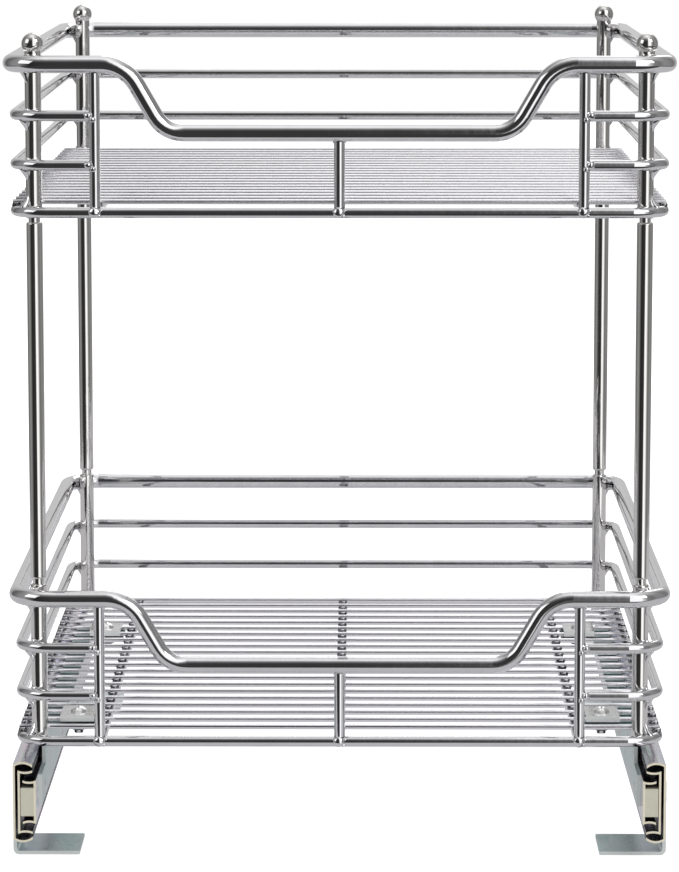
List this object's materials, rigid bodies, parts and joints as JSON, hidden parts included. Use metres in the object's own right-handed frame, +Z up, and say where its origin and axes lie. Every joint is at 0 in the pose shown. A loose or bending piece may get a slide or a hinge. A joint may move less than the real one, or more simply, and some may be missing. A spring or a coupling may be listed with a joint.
{
  "type": "two-tier pull-out cabinet rack",
  "caption": "Chromed wire baskets on two tiers, joined by upright tubes, that pull out of a cabinet on ball bearing slides with floor brackets.",
  "frame": {"origin": "bottom centre of the whole part, on the cabinet floor, basket pushed in", "axes": "+X to the right seen from the front, -Y towards the front where the basket pulls out, +Z up"},
  "size_m": [0.368, 0.457, 0.457],
  "materials": {
    "chrome_wire": "bright chromed wire",
    "chrome_tube": "bright chromed tube",
    "slide_steel": "zinc plated rolled steel",
    "cage_steel": "thin plain steel",
    "bearing_steel": "ground balls",
    "zinc_plate": "blue zinc plated plate",
    "fasteners": "zinc plated",
    "clamp_nickel": "bright nickel plated",
    "black_oxide": "blackened nuts",
    "stop_plastic": "pale moulded block"
  },
  "bodies": {
    "slide_base": {"slide_outer_member_left": "slide_steel", "floor_bracket_front_left": "zinc_plate", "floor_bracket_rear_left": "zinc_plate", "slide_outer_member_right": "slide_steel", "floor_bracket_front_right": "zinc_plate", "floor_bracket_rear_right": "zinc_plate", "foot_rivets": "fasteners"},
    "basket": {"upper_rim": "chrome_wire", "upper_high_side_wire": "chrome_wire", "upper_low_side_wire": "chrome_wire", "upper_bottom_frame": "chrome_wire", "upper_floor_wires": "chrome_wire", "upper_floor_rods": "chrome_wire", "upper_front_stays": "chrome_wire", "upper_post_front_left": "chrome_tube", "upper_post_front_right": "chrome_tube", "upper_post_rear_left": "chrome_tube", "upper_post_rear_right": "chrome_tube", "lower_rim": "chrome_wire", "lower_high_side_wire": "chrome_wire", "lower_low_side_wire": "chrome_wire", "lower_bottom_frame": "chrome_wire", "lower_floor_wires": "chrome_wire", "lower_floor_rods": "chrome_wire", "lower_front_stays": "chrome_wire", "lower_post_front_left": "chrome_tube", "lower_post_front_right": "chrome_tube", "lower_post_rear_left": "chrome_tube", "lower_post_rear_right": "chrome_tube", "upright_tube_front_left": "chrome_tube", "ball_finial_front_left": "chrome_tube", "upright_tube_front_right": "chrome_tube", "ball_finial_front_right": "chrome_tube", "upright_tube_rear_left": "chrome_tube", "ball_finial_rear_left": "chrome_tube", "upright_tube_rear_right": "chrome_tube", "ball_finial_rear_right": "chrome_tube", "slide_inner_member_left": "slide_steel", "end_stop_left": "stop_plastic", "basket_bracket_left": "zinc_plate", "slide_inner_member_right": "slide_steel", "end_stop_right": "stop_plastic", "basket_bracket_right": "zinc_plate", "bracket_rivets": "fasteners", "clamp_plates": "clamp_nickel", "clamp_screws": "clamp_nickel", "clamp_nuts": "black_oxide"},
    "middle_member_left": {"slide_middle_member_left": "slide_steel"},
    "outer_cage_left": {"outer_ball_cage_left": "cage_steel", "outer_bearing_balls_left": "bearing_steel"},
    "inner_cage_left": {"inner_ball_cage_left": "cage_steel", "inner_bearing_balls_left": "bearing_steel"},
    "middle_member_right": {"slide_middle_member_right": "slide_steel"},
    "outer_cage_right": {"outer_ball_cage_right": "cage_steel", "outer_bearing_balls_right": "bearing_steel"},
    "inner_cage_right": {"inner_ball_cage_right": "cage_steel", "inner_bearing_balls_right": "bearing_steel"}
  },
  "joints": [
    {"name": "basket_pull", "type": "slide", "parent": "slide_base", "child": "basket", "axis": [0, -1, 0], "range_m": [0, 0.4]},
    {"name": "middle_member_left_run", "type": "slide", "parent": "slide_base", "child": "middle_member_left", "axis": [0, -1, 0], "range_m": [0, 0.2]},
    {"name": "outer_cage_left_run", "type": "slide", "parent": "slide_base", "child": "outer_cage_left", "axis": [0, -1, 0], "range_m": [0, 0.1]},
    {"name": "inner_cage_left_run", "type": "slide", "parent": "slide_base", "child": "inner_cage_left", "axis": [0, -1, 0], "range_m": [0, 0.3]},
    {"name": "middle_member_right_run", "type": "slide", "parent": "slide_base", "child": "middle_member_right", "axis": [0, -1, 0], "range_m": [0, 0.2]},
    {"name": "outer_cage_right_run", "type": "slide", "parent": "slide_base", "child": "outer_cage_right", "axis": [0, -1, 0], "range_m": [0, 0.1]},
    {"name": "inner_cage_right_run", "type": "slide", "parent": "slide_base", "child": "inner_cage_right", "axis": [0, -1, 0], "range_m": [0, 0.3]}
  ],
  "couplings": [
    {"joint": "middle_member_left_run", "follows": "basket_pull", "ratio": 0.5},
    {"joint": "outer_cage_left_run", "follows": "basket_pull", "ratio": 0.25},
    {"joint": "inner_cage_left_run", "follows": "basket_pull", "ratio": 0.75},
    {"joint": "middle_member_right_run", "follows": "basket_pull", "ratio": 0.5},
    {"joint": "outer_cage_right_run", "follows": "basket_pull", "ratio": 0.25},
    {"joint": "inner_cage_right_run", "follows": "basket_pull", "ratio": 0.75}
  ]
}
